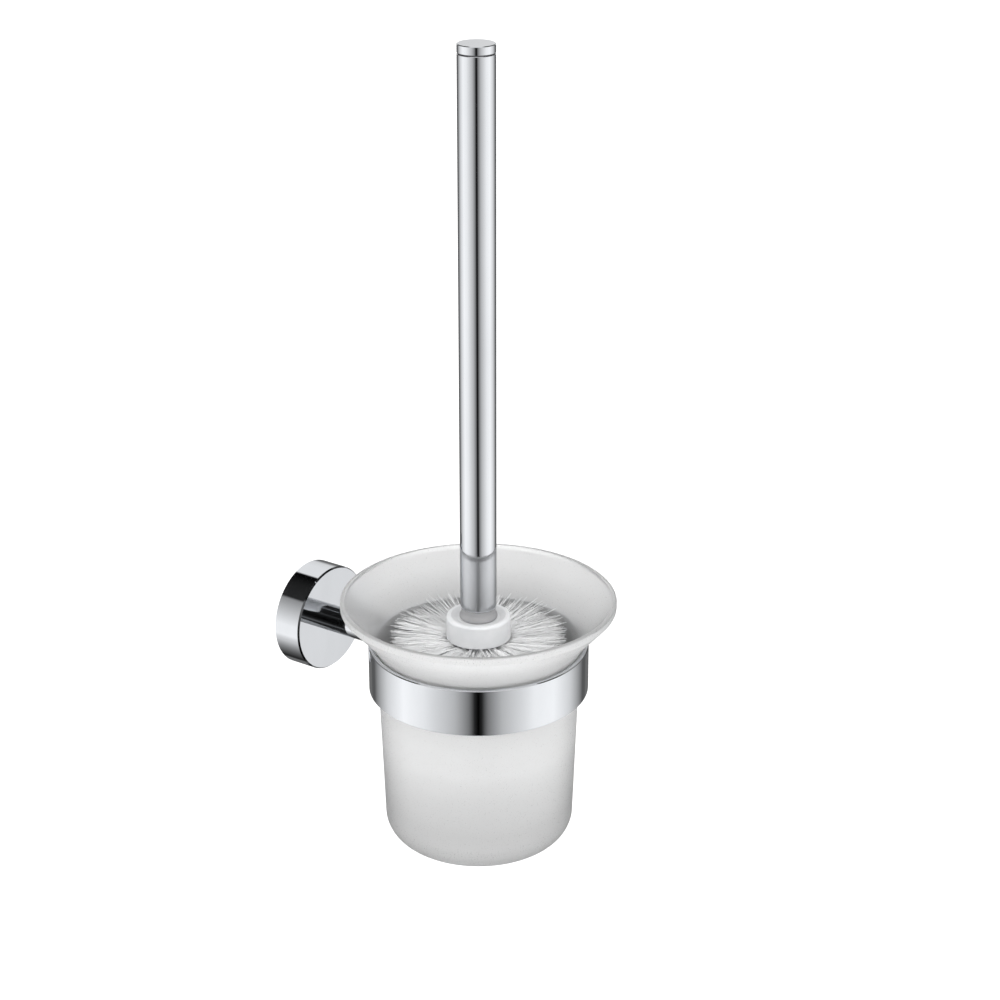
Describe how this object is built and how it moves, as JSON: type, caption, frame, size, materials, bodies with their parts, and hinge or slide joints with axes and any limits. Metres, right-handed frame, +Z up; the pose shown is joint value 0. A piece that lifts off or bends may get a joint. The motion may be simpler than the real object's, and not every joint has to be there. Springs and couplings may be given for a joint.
{
  "type": "toilet brush holder",
  "caption": "Wall-mounted toilet brush holder: round flange and arm, ring band, frosted flared glass cup, and a lift-out brush with a tubular handle.",
  "frame": {"origin": "centre of the flange's back face, on the wall plane", "axes": "+Z up, +Y into the wall, so the holder stands out towards -Y; +X to the right of someone facing the wall"},
  "size_m": [0.1246, 0.1613, 0.3692],
  "materials": {
    "polished_chrome": "polished",
    "cast_zinc": "satin",
    "plated_steel": "satin",
    "frosted_glass": "satin",
    "soft_liner": "matte",
    "dark_rubber": "matte",
    "grey_plastic": "matte",
    "white_plastic": "satin",
    "nylon_filament": "matte"
  },
  "bodies": {
    "root": {"wall_plate": "cast_zinc", "flange_cover": "polished_chrome", "flange_grub_screw": "plated_steel", "arm_screw": "plated_steel", "arm_washer": "plated_steel", "arm": "polished_chrome", "ring_band": "polished_chrome", "ring_screw": "plated_steel", "ring_liner": "soft_liner"},
    "cup": {"glass_cup": "frosted_glass"},
    "brush_head": {"brush_hub": "white_plastic", "head_stud": "plated_steel", "bristle_row_1": "nylon_filament", "bristle_row_2": "nylon_filament", "bristle_row_3": "nylon_filament", "bristle_row_4": "nylon_filament", "bristle_row_5": "nylon_filament", "bristle_row_6": "nylon_filament", "bristle_row_7": "nylon_filament", "bristle_end": "nylon_filament"},
    "collar": {"neck_collar": "grey_plastic"},
    "handle": {"handle_tube": "polished_chrome", "handle_cap": "polished_chrome", "cap_seal": "dark_rubber", "handle_insert": "white_plastic"}
  },
  "joints": [
    {"name": "cup_lift", "type": "slide", "parent": "root", "child": "cup", "axis": [0, 0, 1], "range_m": [0, 0.11]},
    {"name": "brush_lift", "type": "slide", "parent": "cup", "child": "brush_head", "axis": [0, 0, 1], "range_m": [0, 0.13]},
    {"name": "handle_advance", "type": "slide", "parent": "brush_head", "child": "collar", "axis": [0, 0, 1], "range_m": [0, 0.01]},
    {"name": "handle_unscrew", "type": "hinge", "parent": "collar", "child": "handle", "pos_m": [0, -0.099, 0.0286], "axis": [0, 0, 1], "range_deg": [0, 2890]}
  ],
  "couplings": [
    {"joint": "handle_unscrew", "follows": "handle_advance", "rad_per_m": 5026.5}
  ]
}
